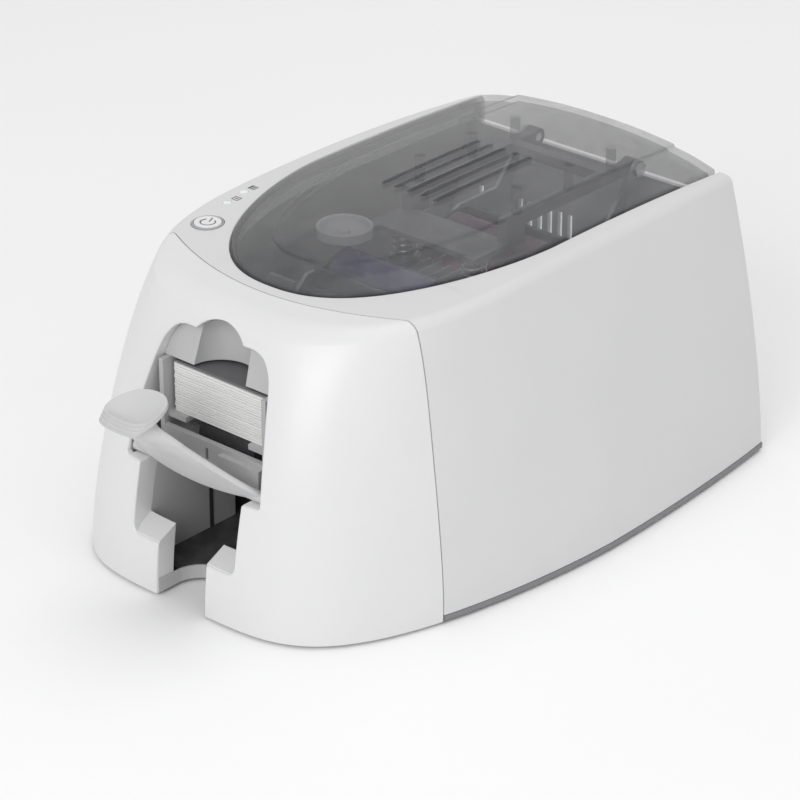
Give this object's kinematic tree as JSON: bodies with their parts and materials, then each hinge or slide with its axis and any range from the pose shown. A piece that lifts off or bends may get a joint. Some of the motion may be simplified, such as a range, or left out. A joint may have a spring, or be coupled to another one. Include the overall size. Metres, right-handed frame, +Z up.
{
  "type": "id card printer",
  "caption": "Desktop plastic card printer: streamlined casing, smoked oval lid over the ribbon and rollers, front card feeder with hinged flap, card outlet below.",
  "frame": {"origin": "centre of the outline on the plane of the feet, with the flap open as at rest", "axes": "+Z up, -Y towards the card feeder and outlet, +X to the right seen from behind the nose, so the button is on the -X side"},
  "size_m": [0.211, 0.3118, 0.1436],
  "materials": {
    "housing": "fine satin",
    "cover": "smooth satin",
    "tray": "matt",
    "inner": "matt",
    "hood": "satin",
    "card": "glossy",
    "frame": "zinc plated",
    "dark": "matt",
    "board": "solder resist",
    "steel": "brushed",
    "film": "glossy film",
    "window": "clear",
    "foot": "matt",
    "lid": "smoked clear plastic",
    "head": "anodised",
    "flap": "satin",
    "roller": "matt",
    "gear": "natural nylon",
    "brass": "turned",
    "blue": "soft silicone",
    "spool": "glossy film",
    "used": "glossy film"
  },
  "bodies": {
    "chassis": {"base_tray": "tray", "main_housing": "housing", "front_cover": "cover", "rear_panel": "housing", "feeder_hood": "hood", "feeder_floor": "inner", "output_tray": "inner", "card_stack": "card", "left_frame": "frame", "right_frame": "frame", "frame_bars": "frame", "card_gate": "dark", "flap_brackets": "hood", "drive_motor": "dark", "drive_belt": "roller", "main_board": "board", "power_inlet": "dark", "usb_socket": "steel", "cassette_frame": "dark", "ribbon_film": "film", "indicator_windows": "window", "rubber_feet": "foot", "screws": "steel", "button_guide": "hood", "lid_hinge_pins": "steel", "button_spring": "steel"},
    "lid": {"lid_shell": "lid", "lid_arms": "inner", "print_head": "head", "head_springs": "steel", "adjuster_cup": "hood", "lid_catch": "inner"},
    "flap": {"feeder_flap": "flap"},
    "button": {"power_button": "cover"},
    "feed": {"feed_shaft": "steel", "feed_tyre": "roller"},
    "platen": {"platen_roller": "roller", "platen_gear": "gear"},
    "front_transport": {"front_roller": "roller", "front_roller_gear": "gear"},
    "rear_transport": {"rear_roller": "roller", "rear_roller_gear": "gear"},
    "idler_front": {"front_idler": "gear"},
    "idler_rear": {"rear_idler": "gear"},
    "pinion": {"motor_pinion": "brass"},
    "cleaner": {"cleaning_roller": "blue"},
    "supply": {"supply_spool": "spool"},
    "takeup": {"takeup_spool": "used"}
  },
  "joints": [
    {"name": "lid_hinge", "type": "hinge", "parent": "chassis", "child": "lid", "pos_m": [0, 0.1419, 0.12538], "axis": [-1, 0, 0], "range_deg": [0, 75]},
    {"name": "flap_hinge", "type": "hinge", "parent": "chassis", "child": "flap", "pos_m": [0, -0.10769, 0.0592], "axis": [-1, 0, 0], "range_deg": [0, 57]},
    {"name": "button_press", "type": "slide", "parent": "chassis", "child": "button", "axis": [0, 0, -1], "range_m": [0, 0.0012], "stiffness_N_per_m": 500, "springref_m": -0.0006, "deforming": ["button_spring"]},
    {"name": "platen_spin", "type": "hinge", "parent": "chassis", "child": "platen", "pos_m": [0, 0.0429, 0.0671], "axis": [1, 0, 0], "continuous": true},
    {"name": "front_transport_spin", "type": "hinge", "parent": "chassis", "child": "front_transport", "pos_m": [0, 0.0019, 0.0671], "axis": [1, 0, 0], "continuous": true},
    {"name": "rear_transport_spin", "type": "hinge", "parent": "chassis", "child": "rear_transport", "pos_m": [0, 0.0839, 0.0671], "axis": [1, 0, 0], "continuous": true},
    {"name": "idler_front_spin", "type": "hinge", "parent": "chassis", "child": "idler_front", "pos_m": [0, 0.0179, 0.0671], "axis": [1, 0, 0], "continuous": true},
    {"name": "idler_rear_spin", "type": "hinge", "parent": "chassis", "child": "idler_rear", "pos_m": [0, 0.0679, 0.0671], "axis": [1, 0, 0], "continuous": true},
    {"name": "pinion_spin", "type": "hinge", "parent": "chassis", "child": "pinion", "pos_m": [0, 0.0429, 0.0431], "axis": [1, 0, 0], "continuous": true},
    {"name": "feed_spin", "type": "hinge", "parent": "chassis", "child": "feed", "pos_m": [0, -0.0831, 0.065], "axis": [1, 0, 0], "continuous": true},
    {"name": "cleaner_spin", "type": "hinge", "parent": "chassis", "child": "cleaner", "pos_m": [0, 0.0019, 0.07996], "axis": [1, 0, 0], "continuous": true},
    {"name": "supply_spin", "type": "hinge", "parent": "chassis", "child": "supply", "pos_m": [0, 0.0099, 0.1015], "axis": [1, 0, 0], "continuous": true},
    {"name": "takeup_spin", "type": "hinge", "parent": "chassis", "child": "takeup", "pos_m": [0, 0.0839, 0.0971], "axis": [1, 0, 0], "continuous": true}
  ],
  "couplings": [
    {"joint": "front_transport_spin", "follows": "platen_spin", "ratio": 2},
    {"joint": "rear_transport_spin", "follows": "platen_spin", "ratio": 2},
    {"joint": "idler_front_spin", "follows": "platen_spin", "ratio": -2.5714},
    {"joint": "idler_rear_spin", "follows": "platen_spin", "ratio": -2.5714},
    {"joint": "pinion_spin", "follows": "platen_spin", "ratio": -3},
    {"joint": "feed_spin", "follows": "platen_spin", "ratio": 2}
  ]
}
